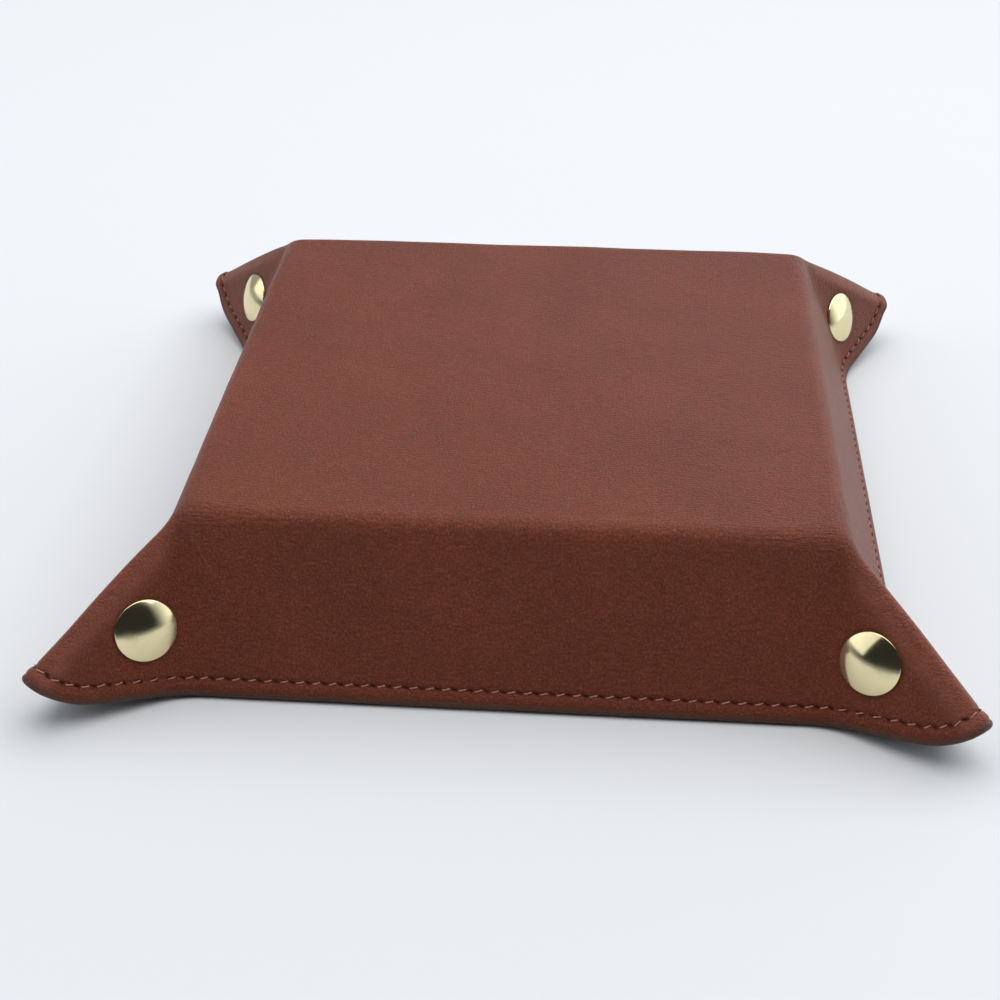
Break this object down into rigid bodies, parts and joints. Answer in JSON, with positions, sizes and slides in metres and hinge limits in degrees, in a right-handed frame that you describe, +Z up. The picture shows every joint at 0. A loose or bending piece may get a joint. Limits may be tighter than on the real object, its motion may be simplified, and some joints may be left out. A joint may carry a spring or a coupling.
{
  "type": "valet tray",
  "caption": "Square lined leather catch-all tray, modelled lying upside down, with sloping walls pinched up by domed snaps at its corner ears; it unfolds to a flat sheet.",
  "frame": {"origin": "on the table under the middle of the base panel, with the tray lying upside down on its rim as pictured", "axes": "+Z up, out of the base panel's outer face; -Y towards the picture's viewer; +X to the right"},
  "size_m": [0.2182, 0.2182, 0.042],
  "materials": {
    "leather": "satin",
    "lining": "matte",
    "board": "matte",
    "thread": "matte",
    "cap_metal": "polished",
    "snap_metal": "satin"
  },
  "bodies": {
    "base": {"base_leather": "leather", "base_board": "board", "base_lining": "lining"},
    "right_wall": {"right_wall_leather": "leather", "right_wall_board": "board", "right_wall_lining": "lining", "right_wall_thread": "thread"},
    "rear_wall": {"rear_wall_leather": "leather", "rear_wall_board": "board", "rear_wall_lining": "lining", "rear_wall_thread": "thread"},
    "left_wall": {"left_wall_leather": "leather", "left_wall_board": "board", "left_wall_lining": "lining", "left_wall_thread": "thread"},
    "front_wall": {"front_wall_leather": "leather", "front_wall_board": "board", "front_wall_lining": "lining", "front_wall_thread": "thread"},
    "right_ear_rear": {"right_ear_rear_leather": "leather", "right_ear_rear_lining": "lining", "right_ear_rear_thread": "thread", "right_ear_rear_cap": "cap_metal", "right_ear_rear_stud": "snap_metal"},
    "right_ear_front": {"right_ear_front_leather": "leather", "right_ear_front_lining": "lining", "right_ear_front_thread": "thread", "right_ear_front_cap": "cap_metal", "right_ear_front_stud": "snap_metal"},
    "rear_ear_left": {"rear_ear_left_leather": "leather", "rear_ear_left_lining": "lining", "rear_ear_left_thread": "thread", "rear_ear_left_cap": "cap_metal", "rear_ear_left_socket": "snap_metal"},
    "rear_ear_right": {"rear_ear_right_leather": "leather", "rear_ear_right_lining": "lining", "rear_ear_right_thread": "thread", "rear_ear_right_cap": "cap_metal", "rear_ear_right_socket": "snap_metal"},
    "left_ear_front": {"left_ear_front_leather": "leather", "left_ear_front_lining": "lining", "left_ear_front_thread": "thread", "left_ear_front_cap": "cap_metal", "left_ear_front_stud": "snap_metal"},
    "left_ear_rear": {"left_ear_rear_leather": "leather", "left_ear_rear_lining": "lining", "left_ear_rear_thread": "thread", "left_ear_rear_cap": "cap_metal", "left_ear_rear_stud": "snap_metal"},
    "front_ear_right": {"front_ear_right_leather": "leather", "front_ear_right_lining": "lining", "front_ear_right_thread": "thread", "front_ear_right_cap": "cap_metal", "front_ear_right_socket": "snap_metal"},
    "front_ear_left": {"front_ear_left_leather": "leather", "front_ear_left_lining": "lining", "front_ear_left_thread": "thread", "front_ear_left_cap": "cap_metal", "front_ear_left_socket": "snap_metal"}
  },
  "joints": [
    {"name": "right_wall_fold", "type": "hinge", "parent": "base", "child": "right_wall", "pos_m": [0.0765, 0, 0.04052], "axis": [0, -1, 0], "range_deg": [0, 68]},
    {"name": "rear_wall_fold", "type": "hinge", "parent": "base", "child": "rear_wall", "pos_m": [0, 0.0765, 0.04052], "axis": [1, 0, 0], "range_deg": [0, 68]},
    {"name": "left_wall_fold", "type": "hinge", "parent": "base", "child": "left_wall", "pos_m": [-0.0765, 0, 0.04052], "axis": [0, 1, 0], "range_deg": [0, 68]},
    {"name": "front_wall_fold", "type": "hinge", "parent": "base", "child": "front_wall", "pos_m": [0, -0.0765, 0.04052], "axis": [-1, 0, 0], "range_deg": [0, 68]},
    {"name": "rear_ear_left_fold", "type": "hinge", "parent": "rear_wall", "child": "rear_ear_left", "pos_m": [-0.0765, 0.0765, 0.04052], "axis": [0, -0.3746, 0.9272], "range_deg": [0, 31.22]},
    {"name": "left_ear_rear_fold", "type": "hinge", "parent": "rear_ear_left", "child": "left_ear_rear", "pos_m": [-0.0765, 0.0765, 0.04052], "axis": [-0.6047, 0.6047, -0.5183], "range_deg": [0, 136]},
    {"name": "rear_ear_right_fold", "type": "hinge", "parent": "rear_wall", "child": "rear_ear_right", "pos_m": [0.0765, 0.0765, 0.04052], "axis": [0, 0.3746, -0.9272], "range_deg": [0, 31.22]},
    {"name": "right_ear_rear_fold", "type": "hinge", "parent": "rear_ear_right", "child": "right_ear_rear", "pos_m": [0.0765, 0.0765, 0.04052], "axis": [-0.6047, -0.6047, 0.5183], "range_deg": [0, 136]},
    {"name": "front_ear_right_fold", "type": "hinge", "parent": "front_wall", "child": "front_ear_right", "pos_m": [0.0765, -0.0765, 0.04052], "axis": [0, 0.3746, 0.9272], "range_deg": [0, 31.22]},
    {"name": "right_ear_front_fold", "type": "hinge", "parent": "front_ear_right", "child": "right_ear_front", "pos_m": [0.0765, -0.0765, 0.04052], "axis": [0.6047, -0.6047, -0.5183], "range_deg": [0, 136]},
    {"name": "front_ear_left_fold", "type": "hinge", "parent": "front_wall", "child": "front_ear_left", "pos_m": [-0.0765, -0.0765, 0.04052], "axis": [0, -0.3746, -0.9272], "range_deg": [0, 31.22]},
    {"name": "left_ear_front_fold", "type": "hinge", "parent": "front_ear_left", "child": "left_ear_front", "pos_m": [-0.0765, -0.0765, 0.04052], "axis": [0.6047, 0.6047, 0.5183], "range_deg": [0, 136]}
  ],
  "couplings": [
    {"joint": "rear_wall_fold", "follows": "right_wall_fold", "ratio": 1},
    {"joint": "left_wall_fold", "follows": "right_wall_fold", "ratio": 1},
    {"joint": "front_wall_fold", "follows": "right_wall_fold", "ratio": 1},
    {"joint": "rear_ear_left_fold", "follows": "right_wall_fold", "ratio": 0.45911},
    {"joint": "left_ear_rear_fold", "follows": "right_wall_fold", "ratio": 2},
    {"joint": "rear_ear_right_fold", "follows": "right_wall_fold", "ratio": 0.45911},
    {"joint": "right_ear_rear_fold", "follows": "right_wall_fold", "ratio": 2},
    {"joint": "front_ear_right_fold", "follows": "right_wall_fold", "ratio": 0.45911},
    {"joint": "right_ear_front_fold", "follows": "right_wall_fold", "ratio": 2},
    {"joint": "front_ear_left_fold", "follows": "right_wall_fold", "ratio": 0.45911},
    {"joint": "left_ear_front_fold", "follows": "right_wall_fold", "ratio": 2}
  ]
}
